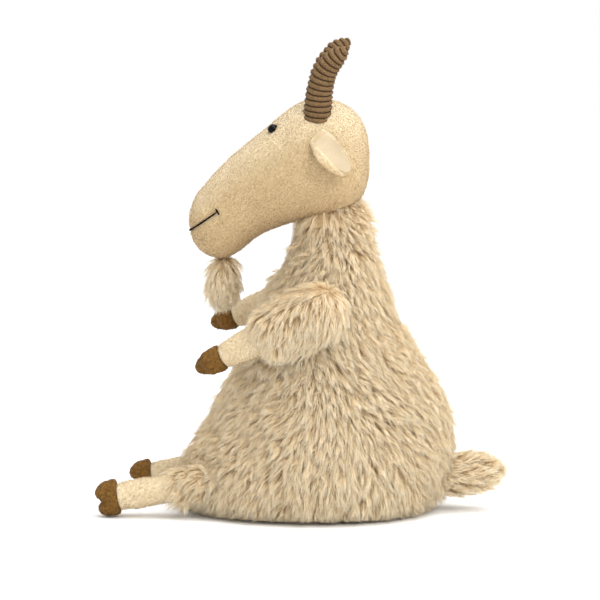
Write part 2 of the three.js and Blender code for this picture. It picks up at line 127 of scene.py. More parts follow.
# ---- meshes ----
def make_object(name, verts, loops, sizes, material, uv=None):
    mesh = bpy.data.meshes.new(name)
    mesh.vertices.add(len(verts))
    mesh.vertices.foreach_set("co", (np.asarray(verts, np.float32) * MM).ravel())
    mesh.loops.add(len(loops))
    mesh.loops.foreach_set("vertex_index", np.asarray(loops, np.int32))
    mesh.polygons.add(len(sizes))
    starts = np.concatenate([[0], np.cumsum(sizes)[:-1]]).astype(np.int32)
    mesh.polygons.foreach_set("loop_start", starts)
    mesh.polygons.foreach_set("use_smooth", np.ones(len(sizes), bool))
    if uv is not None:
        layer = mesh.uv_layers.new(name="OFBake")
        layer.uv.foreach_set("vector", np.asarray(uv, np.float32).ravel())
    mesh.update(calc_edges=True)
    mesh.validate()
    mesh.materials.append(material)
    piece = bpy.data.objects.new(name, mesh)
    bpy.context.scene.collection.objects.link(piece)
    return piece


class Skin:
    """A closed grid of rings between two poles, in millimetres: rings is (rows, around, 3)."""

    def __init__(self, start, rings, end):
        self.rows, self.around = rings.shape[:2]
        self.verts = np.concatenate([start[None], rings.reshape(-1, 3), end[None]])
        n, m = self.rows, self.around
        j = np.arange(m)
        nxt = (j + 1) % m
        ring = lambda i, k: 1 + i * m + k
        i = np.repeat(np.arange(n - 1), m)
        k = np.tile(j, n - 1)
        kn = np.tile(nxt, n - 1)
        quads = np.stack([ring(i, k), ring(i, kn), ring(i + 1, kn), ring(i + 1, k)], 1)
        first = np.stack([np.zeros(m, int), ring(0, nxt), ring(0, j)], 1)
        last = np.stack([np.full(m, 1 + n * m), ring(n - 1, j), ring(n - 1, nxt)], 1)
        uvq = np.stack([
            np.stack([k / m, (i + 1) / (n + 1)], 1), np.stack([(k + 1) / m, (i + 1) / (n + 1)], 1),
            np.stack([(k + 1) / m, (i + 2) / (n + 1)], 1), np.stack([k / m, (i + 2) / (n + 1)], 1)], 1)
        low, high = 1 / (n + 1), n / (n + 1)
        uvf = np.stack([
            np.stack([(j + 0.5) / m, np.zeros(m)], 1), np.stack([(j + 1) / m, np.full(m, low)], 1),
            np.stack([j / m, np.full(m, low)], 1)], 1)
        uvl = np.stack([
            np.stack([(j + 0.5) / m, np.ones(m)], 1), np.stack([j / m, np.full(m, high)], 1),
            np.stack([(j + 1) / m, np.full(m, high)], 1)], 1)
        self.loops = np.concatenate([quads.ravel(), first.ravel(), last.ravel()])
        self.sizes = np.concatenate([np.full(len(quads), 4), np.full(2 * m, 3)])
        self.uv = np.concatenate([uvq.reshape(-1, 2), uvf.reshape(-1, 2), uvl.reshape(-1, 2)])
        self.tris = np.concatenate([quads[:, [0, 1, 2]], quads[:, [0, 2, 3]], first, last])
        if self.volume() < 0:
            self.tris = self.tris[:, ::-1]
            ends = np.cumsum(self.sizes)
            flip = np.concatenate([np.arange(e - 1, e - s - 1, -1) for s, e in zip(self.sizes, ends)])
            self.loops, self.uv = self.loops[flip], self.uv[flip]

    def volume(self):
        a, b, c = (self.verts[self.tris[:, k]] for k in range(3))
        return float(np.sum(a * np.cross(b, c)) / 6)

    def normals(self):
        a, b, c = (self.verts[self.tris[:, k]] for k in range(3))
        face = np.cross(b - a, c - a)
        out = np.zeros_like(self.verts)
        for k in range(3):
            np.add.at(out, self.tris[:, k], face)
        return unit(out)

    def make(self, name, material):
        return make_object(name, self.verts, self.loops, self.sizes, material, self.uv)

    def scatter(self, density, rng, keep=None):
        """Points spread over the surface at `density` per square millimetre, and their normals."""
        a, b, c = (self.verts[self.tris[:, k]] for k in range(3))
        area = np.linalg.norm(np.cross(b - a, c - a), axis=1) / 2
        want = area * density
        if keep is not None:
            want = want * keep((a + b + c) / 3)
        count = np.floor(want + rng.random(len(want))).astype(int)
        which = np.repeat(np.arange(len(want)), count)
        r1, r2 = np.sqrt(rng.random(len(which))), rng.random(len(which))
        w = np.stack([1 - r1, r1 * (1 - r2), r1 * r2], 1)
        tri = self.tris[which]
        normal = self.normals()
        points = sum(w[:, k, None] * self.verts[tri[:, k]] for k in range(3))
        return points, unit(sum(w[:, k, None] * normal[tri[:, k]] for k in range(3)))


def bar(rows, start_round, end_round, place, steps=40, around=40, grow=0.0, warp=None):
    """A stuffed tube that runs forward along -Y, rows being (distance, radius)."""
    rows = np.array(rows, float)
    start, end = rows[0, 0] - grow, rows[-1, 0] + grow
    at = start + (end - start) * (1 - np.cos(np.pi * np.arange(1, steps) / steps)) / 2
    r = (smooth(rows, at)[0] + grow) * round_end(at, start, end, start_round, end_round)
    a = np.linspace(0, 2 * np.pi, around, endpoint=False)
    s, q = np.meshgrid(at, a, indexing="ij")
    rr = np.repeat(r[:, None], around, 1)
    if warp is not None:
        rr = rr + warp(s, q) * round_end(s, start, end, start_round, end_round)
    rings = np.stack([rr * np.cos(q), -s, rr * np.sin(q)], -1)
    return Skin(place(np.array([0, -start, 0.0])), place(rings), place(np.array([0, -end, 0.0])))


# ---- strands of pile ----
def centre_lines(roots, normals, comb, length, lean, droop, steps, clump, rng, wave, spread, gather):
    """Strand centre lines (n, steps, 3), and each strand's lock as a share of all locks.

    comb is the direction that the pile is brushed in, and clump the number of strands in a lock.
    """
    n = len(roots)
    tangent = unit(comb - np.sum(comb * normals, 1, keepdims=True) * normals)
    centres = max(1, int(n / max(clump, 1)))
    chosen = rng.choice(n, centres, replace=False)
    tree = kdtree.KDTree(centres)
    for k, c in enumerate(chosen):
        tree.insert(Vector(roots[c]), k)
    tree.balance()
    lock = np.array([tree.find(Vector(p))[1] for p in roots])
    lock_turn = rng.normal(0, spread, centres)
    lock_lean = np.clip(np.broadcast_to(lean, n)[chosen] + rng.normal(0, 0.12, centres), 0.08, 0.95)
    lock_long = 1 + rng.normal(0, 0.13, centres)
    side = np.cross(normals, tangent)

    def path(root, normal, tan, across, turn, rise, long, phase):
        d = unit(np.cos(turn)[:, None] * tan + np.sin(turn)[:, None] * across)
        t = np.linspace(0, 1, steps)[None, :, None]
        out = rise[:, None, None] * normal[:, None] * (t - 0.38 * t * t)
        flow = (1 - rise)[:, None, None] * d[:, None] * (0.45 * t + 0.55 * t * t)
        fall = -droop * UP * (t ** 2.2)
        bend = wave * np.sin(phase[:, None, None] + 4.4 * t) * across[:, None] * t
        return root[:, None] + long[:, None, None] * (out + flow + fall * 0.5) + bend

    long = length * lock_long[lock] * (1 + rng.normal(0, 0.09, n))
    own = path(roots, normals, tangent, side, lock_turn[lock] + rng.normal(0, 0.22, n),
               np.clip(lock_lean[lock] + rng.normal(0, 0.07, n), 0.05, 1), long, rng.random(n) * 6.3)
    c = chosen
    phase = rng.random(centres) * 6.3
    base_long = length[c] * lock_long
    lead = path(roots[c], normals[c], tangent[c], side[c], lock_turn, lock_lean, base_long, phase)
    t = np.linspace(0, 1, steps)[None, :, None]
    pull = gather * np.clip(rng.normal(1, 0.18, n), 0.4, 1.25)[:, None, None] * t ** 1.3
    pull = np.clip(pull, 0, 0.96)
    offset = rng.normal(0, 0.35, (n, 1, 3)) * t
    return own * (1 - pull) + (lead[lock] + offset) * pull, lock / centres


def strand_piece(name, paths, shade, width, material, taper=(1.0, 0.95, 0.8, 0.5)):
    """Strands as closed three-sided hairs in one mesh: v runs along the strand, u is its shade."""
    n, steps = paths.shape[:2]
    tangent = np.gradient(paths, axis=1)
    tangent = unit(tangent)
    ref = unit(np.cross(tangent[:, 0], UP + 0.01))
    side = unit(np.cross(tangent, ref[:, None]))
    other = np.cross(tangent, side)
    levels = np.interp(np.linspace(0, 1, steps)[:-1], np.linspace(0, 0.9, len(taper)), taper)
    w = np.asarray(width).reshape(-1, 1) * levels[None] * np.ones((n, 1))
    angles = np.arange(3) * 2 * np.pi / 3
    rings = paths[:, :-1, None] + w[:, :, None, None] * (
        np.cos(angles)[:, None] * side[:, :-1, None] + np.sin(angles)[:, None] * other[:, :-1, None])
    verts = np.concatenate([rings.reshape(n, -1, 3), paths[:, -1:]], 1)
    per = verts.shape[1]
    faces, sizes, vs = [], [], []
    v_at = np.linspace(0.02, 0.98, steps)
    for i in range(steps - 2):
        for k in range(3):
            q = (k + 1) % 3
            faces += [i * 3 + k, i * 3 + q, (i + 1) * 3 + q, (i + 1) * 3 + k]
            vs += [v_at[i], v_at[i], v_at[i + 1], v_at[i + 1]]
            sizes.append(4)
    last = (steps - 2) * 3
    for k in range(3):
        faces += [last + k, last + (k + 1) % 3, per - 1]
        vs += [v_at[-2], v_at[-2], v_at[-1]]
        sizes.append(3)
    faces += [2, 1, 0]
    vs += [v_at[0]] * 3
    sizes.append(3)
    loops = (np.arange(n)[:, None] * per + np.array(faces)[None]).ravel()
    uv = np.stack([np.repeat(shade, len(faces)), np.tile(vs, n)], 1)
    return make_object(name, verts.reshape(-1, 3), loops, np.tile(sizes, n), material, uv)


FACE_LIMIT = 190000
FLOOR_GAP = 0.3


def fur(name, body, skin_points, normals, comb, material, slot, rng, length, lean, droop, clump, width, steps,
        tone=1.0, **more):
    """Long pile on a skin, cut into pieces that each stay light enough to be kept whole."""
    paths, lock = centre_lines(skin_points, normals, comb, length, lean, droop, steps, clump, rng, **more)
    lift = 1.6 * np.clip((np.abs(paths[..., 0]) - 38) / 22, 0, 1)
    floor = FLOOR_GAP + lift + 1.5 * rng.random((len(lock), 1)) * np.linspace(0, 1, steps)
    paths[..., 2] = np.maximum(paths[..., 2], floor)
    # each strand's u mixes a random lock tone with the caller's tone, which holds painted light on the nap and the
    # chest
    shade = (0.65 * np.mod(lock * 97.31, 1) + 0.35 * rng.random(len(lock))) * tone + 0.35 * (tone - 0.5)
    shade = np.clip(shade, 0.02, 0.98)
    size = width * (0.75 + 0.5 * rng.random(len(lock)))
    order = rng.permutation(len(lock))
    most = FACE_LIMIT // ((steps - 2) * 6 + 4)
    for k, start in enumerate(range(0, len(order), most)):
        pick = order[start:start + most]
        part = strand_piece(f"{name}_{k + 1}", paths[pick], shade[pick], size[pick], material)
        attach(part, body)


# ---- materials ----
def new_material(name, color, roughness, specular, sheen=0.0, sheen_roughness=0.5, sheen_tint=(1, 1, 1)):
    m = bpy.data.materials.new(name)
    m.use_nodes = True
    b = m.node_tree.nodes["Principled BSDF"]
    b.inputs["Base Color"].default_value = (*color, 1)
    b.inputs["Roughness"].default_value = roughness
    b.inputs["Specular IOR Level"].default_value = specular
    b.inputs["Sheen Weight"].default_value = sheen
    b.inputs["Sheen Roughness"].default_value = sheen_roughness
    b.inputs["Sheen Tint"].default_value = (*sheen_tint, 1)
    return m, m.node_tree, b


def node(tree, kind, **values):
    n = tree.nodes.new(kind)
    for key, value in values.items():
        if hasattr(n, key):
            setattr(n, key, value)
        else:
            n.inputs[key].default_value = value
    return n


def ramp(tree, stops, factor):
    n = tree.nodes.new("ShaderNodeValToRGB")
    elements = n.color_ramp.elements
    while len(elements) < len(stops):
        elements.new(0.5)
    for element, (at, color) in zip(elements, stops):
        element.position = at
        element.color = (*color, 1)
    tree.links.new(factor, n.inputs["Fac"])
    return n


def multiply(tree, a, b, amount=1.0):
    n = tree.nodes.new("ShaderNodeMix")
    n.data_type = "RGBA"
    n.blend_type = "MULTIPLY"
    n.inputs["Factor"].default_value = amount
    tree.links.new(a, n.inputs[6])
    tree.links.new(b, n.inputs[7])
    return n.outputs[2]


def pile_material(name, stops, shades, roughness=0.6, sheen=0.0, specular=0.12):
    """Hair colour runs from root to tip along v and changes from lock to lock along u; u also carries the caller's
    tone, which holds painted light where callers paint it.
    """
    m, tree, b = new_material(name, stops[1][1], roughness, specular, sheen, 0.4)
    uv = node(tree, "ShaderNodeUVMap", uv_map="OFBake")
    split = node(tree, "ShaderNodeSeparateXYZ")
    tree.links.new(uv.outputs["UV"], split.inputs[0])
    along = ramp(tree, stops, split.outputs["Y"])
    tone = ramp(tree, shades, split.outputs["X"])
    tree.links.new(multiply(tree, along.outputs["Color"], tone.outputs["Color"]), b.inputs["Base Color"])
    return m


def cloth_material(name, color, dark, scale, bump, roughness=0.9, sheen=0.4, tint=(1, 0.95, 0.85), painted_light=None):
    """Short nap: fine mottled colour, with a soft grain in the surface.

    The last argument is a ramp of painted light: it colours the nap by the mesh's layer called upward, paler where
    the surface faces up and darker where it faces down.
    """
    m, tree, b = new_material(name, color, roughness, 0.2, sheen, 0.45, tint)
    place = node(tree, "ShaderNodeTexCoord")
    fine = node(tree, "ShaderNodeTexNoise", Scale=scale, Detail=6.0, Roughness=0.65)
    broad = node(tree, "ShaderNodeTexNoise", Scale=scale * 0.12, Detail=3.0, Roughness=0.5)
    for texture in (fine, broad):
        tree.links.new(place.outputs["Object"], texture.inputs["Vector"])
    grain = ramp(tree, [(0.3, dark), (0.62, color)], fine.outputs["Fac"])
    patch = ramp(tree, [(0.3, (0.9, 0.89, 0.87)), (0.7, (1, 1, 1))], broad.outputs["Fac"])
    shown = multiply(tree, grain.outputs["Color"], patch.outputs["Color"])
    # painted light: paler where the surface faces up, darker where it faces down
    if painted_light:
        layer = node(tree, "ShaderNodeAttribute", attribute_name="upward")
        shown = multiply(tree, shown, ramp(tree, painted_light, layer.outputs["Fac"]).outputs["Color"])
    tree.links.new(shown, b.inputs["Base Color"])
    lift = node(tree, "ShaderNodeBump", Strength=bump, Distance=0.0004)
    tree.links.new(fine.outputs["Fac"], lift.inputs["Height"])
    tree.links.new(lift.outputs["Normal"], b.inputs["Normal"])
    return m


def weave_material(name, color, dark, scale):
    m, tree, b = new_material(name, color, 0.9, 0.2, sheen=0.2)
    place = node(tree, "ShaderNodeTexCoord")
    waves = []
    for direction in ("X", "Y"):
        wave = node(tree, "ShaderNodeTexWave", Scale=scale, Distortion=0.6, Detail=1.0)
        wave.bands_direction = direction
        tree.links.new(place.outputs["Object"], wave.inputs["Vector"])
        waves.append(wave.outputs["Fac"])
    cross = node(tree, "ShaderNodeMath", operation="MAXIMUM")
    tree.links.new(waves[0], cross.inputs[0])
    tree.links.new(waves[1], cross.inputs[1])
    tone = ramp(tree, [(0.35, dark), (0.85, color)], cross.outputs[0])
    tree.links.new(tone.outputs["Color"], b.inputs["Base Color"])
    lift = node(tree, "ShaderNodeBump", Strength=0.5, Distance=0.0003)
    tree.links.new(cross.outputs[0], lift.inputs["Height"])
    tree.links.new(lift.outputs["Normal"], b.inputs["Normal"])
    return m


SHADES = [
    (0.0, (0.80, 0.74, 0.64)),
    (0.35, (0.93, 0.90, 0.85)),
    (0.7, (1.0, 0.99, 0.98)),
    (1.0, (1.0, 1.0, 1.0)),
]
long_pile = pile_material(
    "long_pile_hair",
    [(0.0, (0.62, 0.41, 0.19)), (0.3, (0.86, 0.67, 0.41)), (0.65, (0.96, 0.82, 0.58)),
     (1.0, (1.0, 0.93, 0.76))],
    SHADES)
NAP = [
    (0.0, (0.64, 0.54, 0.40)),
    (0.3, (0.77, 0.69, 0.56)),
    (0.6, (0.93, 0.90, 0.84)),
    (1.0, (1.0, 1.0, 1.0)),
]
cream_fuzz = pile_material(
    "velour_fuzz", [(0.0, (0.50, 0.36, 0.20)), (0.5, (0.80, 0.65, 0.44)), (1.0, (1.0, 0.95, 0.83))],
    NAP, 0.7, 0.1)
limb_fuzz = pile_material(
    "limb_fuzz", [(0.0, (0.48, 0.33, 0.17)), (0.5, (0.74, 0.58, 0.36)), (1.0, (0.98, 0.87, 0.67))],
    SHADES, 0.7, 0.1)
MOTTLE = [
    (0.0, (0.36, 0.33, 0.30)),
    (0.35, (0.66, 0.63, 0.60)),
    (0.7, (0.92, 0.90, 0.86)),
    (1.0, (1.0, 1.0, 1.0)),
]
brown_fuzz = pile_material(
    "hoof_fuzz", [(0.0, (0.07, 0.03, 0.006)), (0.5, (0.22, 0.105, 0.026)), (1.0, (0.44, 0.255, 0.095))],
    MOTTLE, 0.7, 0.0)
cord_fuzz = pile_material(
    "corduroy_fuzz", [(0.0, (0.09, 0.05, 0.02)), (0.5, (0.18, 0.11, 0.052)), (1.0, (0.34, 0.23, 0.125))],
    SHADES, 0.7, 0.0)
pile_back = cloth_material("pile_backing", (0.62, 0.46, 0.28), (0.46, 0.32, 0.17), 500, 0.3)
# painted light for the velour: paler where it faces up, darker where it faces down
VELOUR_PAINTED_LIGHT = [(0.0, (0.72, 0.60, 0.47)), (0.5, (0.80, 0.70, 0.565)), (0.95, (1.0, 1.0, 1.0))]
velour = cloth_material("velour_skin", (0.74, 0.64, 0.45), (0.50, 0.40, 0.26), 900, 0.6, sheen=0.2, painted_light=VELOUR_PAINTED_LIGHT)
limb_velour = cloth_material("limb_velour", (0.76, 0.64, 0.44), (0.54, 0.42, 0.26), 900, 0.6, sheen=0.2)
hoof_velour = cloth_material(
    "hoof_velour", (0.22, 0.11, 0.022), (0.07, 0.03, 0.006), 700, 0.8, sheen=0.05, tint=(1, 0.8, 0.6))
suede = cloth_material("ear_suede", (0.60, 0.49, 0.335), (0.54, 0.43, 0.28), 1400, 0.25, 0.85, 0.15)
filling = cloth_material("fibre_filling", (0.88, 0.87, 0.84), (0.74, 0.72, 0.69), 300, 0.6)
plain_weave = weave_material("seat_weave", (0.74, 0.66, 0.52), (0.52, 0.44, 0.32), 260)
washer_mat = cloth_material("moulded_washer", (0.82, 0.82, 0.8), (0.76, 0.76, 0.74), 200, 0.05, 0.45, 0.0)


def corduroy_material():
    """Brown corduroy: painted shade darkens the channels between the ribs, by the mesh's layer called channel;
    napped on the ribs; v counts the ribs.
    """
    m, tree, b = new_material("corduroy", (0.2, 0.12, 0.06), 0.85, 0.15, 0.05, 0.4, (1, 0.85, 0.7))
    place = node(tree, "ShaderNodeTexCoord")
    fine = node(tree, "ShaderNodeTexNoise", Scale=1100, Detail=5.0, Roughness=0.7)
    tree.links.new(place.outputs["Object"], fine.inputs["Vector"])
    tone = ramp(tree, [(0.3, (0.09, 0.05, 0.02)), (0.65, (0.22, 0.135, 0.065))], fine.outputs["Fac"])
    # painted shade: the channel layer darkens the channels between the ribs; it is also darker near the horn's
    # base
    hollow = node(tree, "ShaderNodeAttribute", attribute_name="channel")
    dark = ramp(tree, [(0.0, (0.16, 0.12, 0.09)), (0.6, (1, 1, 1))], hollow.outputs["Fac"])
    tree.links.new(multiply(tree, tone.outputs["Color"], dark.outputs["Color"]), b.inputs["Base Color"])
    lift = node(tree, "ShaderNodeBump", Strength=0.7, Distance=0.0004)
    tree.links.new(fine.outputs["Fac"], lift.inputs["Height"])
    tree.links.new(lift.outputs["Normal"], b.inputs["Normal"])
    return m


corduroy = corduroy_material()
bead, _, _ = new_material("eye_bead", (0.001, 0.001, 0.001), 0.07, 0.12)
thread = cloth_material(
    "embroidery_thread", (0.004, 0.003, 0.003), (0.002, 0.0015, 0.0015), 1500, 0.3, 1.0, 0.0)
thread.node_tree.nodes["Principled BSDF"].inputs["Specular IOR Level"].default_value = 0.05


def padded_piece(skin, name, material, body, slot, *nodes, fill=0.8):
    piece = skin.make(name, material)
    # the upward layer drives the velour's painted top light and underside shade
    if material is velour:
        layer = piece.data.attributes.new("upward", "FLOAT", "POINT")
        layer.data.foreach_set("value", (0.5 + 0.5 * skin.normals()[:, 2]).astype(np.float32))
    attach(piece, body)
    if nodes:
        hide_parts(*nodes)
    return piece


def lumps(points, size, height, seed):
    """Soft uneven stuffing: a few sines in turned directions."""
    r = np.random.default_rng(seed)
    total = np.zeros(len(points))
    for _ in range(7):
        along = points @ unit(r.normal(size=3))
        total += np.sin(along * 2 * np.pi / (size * r.uniform(0.7, 1.5)) + r.uniform(0, 6.3))
    return total * height / 3


# ---- torso ----
def torso_skin(inset):
    heights = np.concatenate([[0.35, 1.2, 3.0], np.linspace(5.5, 172, 56), [175, 177.5]])
    front, back, half = smooth(BODY, heights)
    depth, half, mid = (back - front) / 2 - inset, half - inset, (front + back) / 2
    a = np.linspace(0, 2 * np.pi, 96, endpoint=False)
    panel_x, panel_y, panel_mid = 45.2, 62.2, 3.0
    under = [(0.5, 4.2), (0.98, 4.2), (1.02, 3.4), (1.02, 0.6), (1.03, 0.1)]
    rings = [np.stack([s * panel_x * np.cos(a), panel_mid + s * panel_y * np.sin(a), np.full(96, z)], 1)
             for s, z in under]
    rings += [np.stack([h * np.cos(a), m + d * np.sin(a), np.full(96, z)], 1)
              for h, d, m, z in zip(half, depth, mid, heights)]
    for angle in np.radians([12, 26, 40, 54, 68, 80]):
        r, z = 19.6 * math.cos(angle), NECK[2] + 0.4 + 19.2 * math.sin(angle)
        rings.append(np.stack([r * np.cos(a), NECK[1] + r * np.sin(a), np.full(96, z)], 1))
    start = np.array([0, panel_mid, 4.2])
    return Skin(start, np.array(rings), np.array([0, NECK[1], NECK[2] + 19.6]))


def neck_ball():
    """The neck's fabric over its core, a cap that the head turns on."""
    t = np.radians(np.linspace(8, 90, 24))
    q = np.linspace(0, 2 * np.pi, 80, endpoint=False)
    tt, qq = np.meshgrid(t, q, indexing="ij")
    ring = np.stack([np.sin(tt) * np.cos(qq), np.sin(tt) * np.sin(qq), np.cos(tt)], -1) * 20.25
    low = np.stack([ring[-1] * np.array([0.9, 0.9, 1]), ring[-1] * np.array([0.5, 0.5, 1])])
    return Skin(NECK + 20.25 * UP, NECK + np.concatenate([ring, low]), NECK.copy())


SKIN_INSET = 3.0
rng = np.random.default_rng(7)
torso = torso_skin(SKIN_INSET)
padded_piece(torso, "torso_cover", pile_back, "torso", "long_pile", "body_cover", fill=0.85)


def torso_density(p):
    """Pile everywhere but under the seat and inside the neck."""
    seam = NECK_SEAM[1] + (p[:, 1] - NECK_SEAM[0]) * NECK_SLOPE
    return ((p[:, 2] > 1.5) & (p[:, 2] < seam + 2)).astype(float)


def swirl(points, size, seed):
    """Slow changes of direction over the pile, about -1 to 1."""
    return lumps(points, size, 1.0, seed)


def body_comb(points, normals):
    """The pile falls down and away from the spine on both sides, with slow swirls."""
    away = np.clip((points[:, 1] - 14) / 52, -1.05, 0.95)[:, None] * np.array([0, 1, 0])
    side = np.cross(normals, UP)
    turns = 0.32 * swirl(points, 70, 12) + 0.2 * swirl(points, 24, 13)
    return -UP + away + 0.2 * normals + turns[:, None] * side


points, normals = torso.scatter(1.5, rng, torso_density)
comb = body_comb(points, normals)
height = points[:, 2]
length = np.interp(height, [0, 8, 20, 120, 160, 182, 195], [15, 19, 22, 22, 20, 19, 14])
behind = np.clip((points[:, 1] - NECK[1]) / 15, 0, 1)
lift = 0.46 + 0.36 * behind * np.clip((height - 160) / 14, 0, 1)
# painted light: the pile is painted paler over the chest under the chin; it is also darker towards the bottom
painted_chest_light = np.clip((height - 110) / 40, 0, 1) * np.clip((40 - points[:, 1]) / 30, 0, 1)
tone = 0.92 + 0.22 * painted_chest_light - 0.12 * np.clip((60 - height) / 50, 0, 1)
fur("torso_fur", "torso", points, normals, comb, long_pile, "long_pile", rng, length, lean=lift, droop=0.18,
    clump=7, width=0.125, steps=4, wave=1.0, spread=0.34, gather=0.8, tone=tone)
padded_piece(neck_ball(), "neck_skin", pile_back, "neck", "long_pile", "neck_core", fill=0.9)


# ---- head ----
def head_place(local):
    return turn_x(local, math.degrees(HEAD_TILT)) + HEAD_FROM


def head_section(at, angle, grow=0.0):
    top, bottom, half = smooth(HEAD, at)
    r = round_end(at, HEAD[0, 0], HEAD[-1, 0], HEAD_BACK, HEAD_NOSE)
    c, s = np.cos(angle), np.sin(angle)
    k = (np.abs(c) ** HEAD_SQUARE + np.abs(s) ** HEAD_SQUARE) ** (-1 / HEAD_SQUARE)
    height = (top + bottom) / 2 + s * k * ((top - bottom) / 2 * r + grow)
    return np.stack([c * k * (half * r + grow), -at, height], -1)


MOUTH_CENTRE = 96


def mouth_line(count=61, half_turn=94.0):
    """Points of the smile on the snout, from the right cheek round the nose to the left."""
    share = np.linspace(-1, 1, count)
    heading = np.radians(share * half_turn)
    height = 3.6 - 3.2 * np.cos(share * np.pi / 2)
    near, far = np.zeros(count), np.full(count, 40.0)
    for _ in range(30):
        reach = (near + far) / 2
        x, at = np.sin(heading) * reach, MOUTH_CENTRE + np.cos(heading) * reach
        top, bottom, half = smooth(HEAD, at)
        r = np.sqrt(np.maximum(1e-6, 1 - np.clip(1 - (HEAD[-1, 0] - at) / HEAD_NOSE, 0, 1) ** 2))
        u, v = x / (half * r), (height - (top + bottom) / 2) / ((top - bottom) / 2 * r)
        inside = (at < HEAD[-1, 0]) & (np.abs(u) ** HEAD_SQUARE + np.abs(v) ** HEAD_SQUARE < 1)
        near, far = np.where(inside, reach, near), np.where(inside, far, reach)
    return head_place(np.stack([np.sin(heading) * near, -(MOUTH_CENTRE + np.cos(heading) * near), height], 1))


def distance_to_line(points, line):
    best = np.full(len(points), 1e9)
    for a, b in zip(line[:-1], line[1:]):
        d = b - a
        t = np.clip(((points - a) @ d) / (d @ d), 0, 1)
        best = np.minimum(best, np.linalg.norm(points - a - t[:, None] * d, axis=1))
    return best


def out_of_socket(points):
    """The head's underside is hollowed where the neck's ball sits in it."""
    seam = NECK_SEAM[1] + (points[:, 1] - NECK_SEAM[0]) * NECK_SLOPE
    under = (np.abs(points[:, 1] - 21) < 31) & (points[:, 2] < seam)
    points[under, 2] = seam[under]
    above = points[:, 2] - (NECK_SEAM[1] + (points[:, 1] - NECK_SEAM[0]) * NECK_SLOPE)
    tuck = 0.13 * np.clip(1 - above / 16, 0, 1) ** 2 * np.clip((points[:, 1] + 2) / 20, 0, 1)
    points[:, 0] -= tuck * points[:, 0]
    points[:, 1] -= tuck * (points[:, 1] - NECK[1])
    d = points - NECK
    far = np.linalg.norm(d, axis=1)
    inside = (far < NECK_SOCKET) & (d[:, 2] > -4)
    points[inside] = NECK + unit(d[inside] + 0.2 * UP) * NECK_SOCKET
    return points


EYE_AT, EYE_ANGLE = 41.2, math.radians(62)
EYE_RADIUS, EYE_FLATNESS, EYE_LIFT, EYE_BARE = 3.15, 0.8, 0.55, 3.0
mouth = mouth_line()
eye_at = head_place(head_section(np.array([EYE_AT]), np.array([EYE_ANGLE])))[0]
eye_out = unit(head_place(head_section(np.array([EYE_AT]), np.array([EYE_ANGLE]), 1.0))[0] - eye_at)

at = HEAD[0, 0] + (HEAD[-1, 0] - HEAD[0, 0]) * (1 - np.cos(np.pi * np.arange(1, 120) / 120)) / 2
angles = np.linspace(0, 2 * np.pi, 132, endpoint=False)
s_grid, a_grid = np.meshgrid(at, angles, indexing="ij")
mid_of = lambda s: (smooth(HEAD, s)[0] + smooth(HEAD, s)[1]) / 2
ends = [head_place(np.array([0.0, -HEAD[k, 0], float(mid_of(HEAD[k, 0]))])) for k in (0, -1)]
head = Skin(ends[0], head_place(head_section(s_grid, a_grid)), ends[1])
out = head.normals()
push = lumps(head.verts, 42, 0.35, 3) + lumps(head.verts, 14, 0.12, 5)
push -= 0.85 * np.exp(-(distance_to_line(head.verts, mouth) / 1.5) ** 2)
for sign in SIDES.values():
    spot = eye_at * np.array([sign, 1, 1])
    gap = np.linalg.norm(head.verts - spot, axis=1)
    push -= 1.1 * np.exp(-(gap / 3.8) ** 2) - 0.45 * np.exp(-((gap - 6.0) / 2.2) ** 2)
head.verts = out_of_socket(head.verts + out * push[:, None])
padded_piece(head, "head_skin", velour, "head", "velour", "head_cover", fill=0.9)


def not_hidden(p):
    """No pile in the neck socket, under the beads or under the horns."""
    keep = (np.linalg.norm(p - NECK, axis=1) > NECK_SOCKET + 0.9).astype(float)
    for sign in SIDES.values():
        keep *= np.linalg.norm(p - eye_at * np.array([sign, 1, 1]), axis=1) > EYE_BARE
        keep *= np.hypot(p[:, 0] - sign * HORN_X, p[:, 1] - 9.5) > np.where(p[:, 2] > 225, 7.6, 0)
    keep *= 1 - 0.85 * (distance_to_line(p, mouth) < 0.9)
    return keep


def fuzz(name, body, surface, material, slot, seed, density=1.5, length=1.7, keep=None, lean=0.85, width=0.1,
         flow=None, patchy=0.0):
    """Short nap on a skin, with painted top light that makes it paler where it faces up; patchy mixes in a mottled
    tone.
    """
    r = np.random.default_rng(seed)
    p, n = surface.scatter(density, r, keep)
    way = r.normal(size=p.shape) * 0.9 + (np.array([0, 0.5, -0.5]) if flow is None else flow)
    long = length * (0.8 + 0.4 * r.random(len(p)))
    # painted top light: the tone follows the normal's upward part, except for the share given to patchy mottling
    tone = 0.62 + 0.38 * np.clip(n[:, 2] * (1 - patchy) + patchy * lumps(p, 5, 1.0, seed), -1, 1)
    fur(name, body, p - 0.15 * n, n, way, material, slot, r, long, lean=lean, droop=0.05, clump=5,
        width=width, steps=3, wave=0.1, spread=0.9, gather=0.7, tone=tone)


fuzz("head_fuzz", "head", head, cream_fuzz, "velour", 11, keep=not_hidden)


# ---- eyes and mouth ----
def ball(centre, out, radius, flat, rows=24, around=36, lift=0.0):
    """A round bead, flattened along `out`."""
    side = unit(np.cross(out, UP + 0.1))
    over = np.cross(out, side)
    t = np.pi * np.arange(1, rows) / rows
    q = np.linspace(0, 2 * np.pi, around, endpoint=False)
    tt, qq = np.meshgrid(t, q, indexing="ij")
    c = centre + out * lift
    round_it = np.cos(qq)[..., None] * side + np.sin(qq)[..., None] * over
    rings = (c + radius * np.sin(tt)[..., None] * round_it
             + radius * flat * np.cos(tt)[..., None] * out)
    return Skin(c + radius * flat * out, rings, c - radius * flat * out)


for side, sign in SIDES.items():
    flip = np.array([sign, 1, 1])
    eye = ball(eye_at * flip, eye_out * flip, EYE_RADIUS, EYE_FLATNESS, lift=EYE_LIFT).make(f"{side}_bead", bead)
    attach(eye, "head")
    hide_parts(f"{side}_eye")


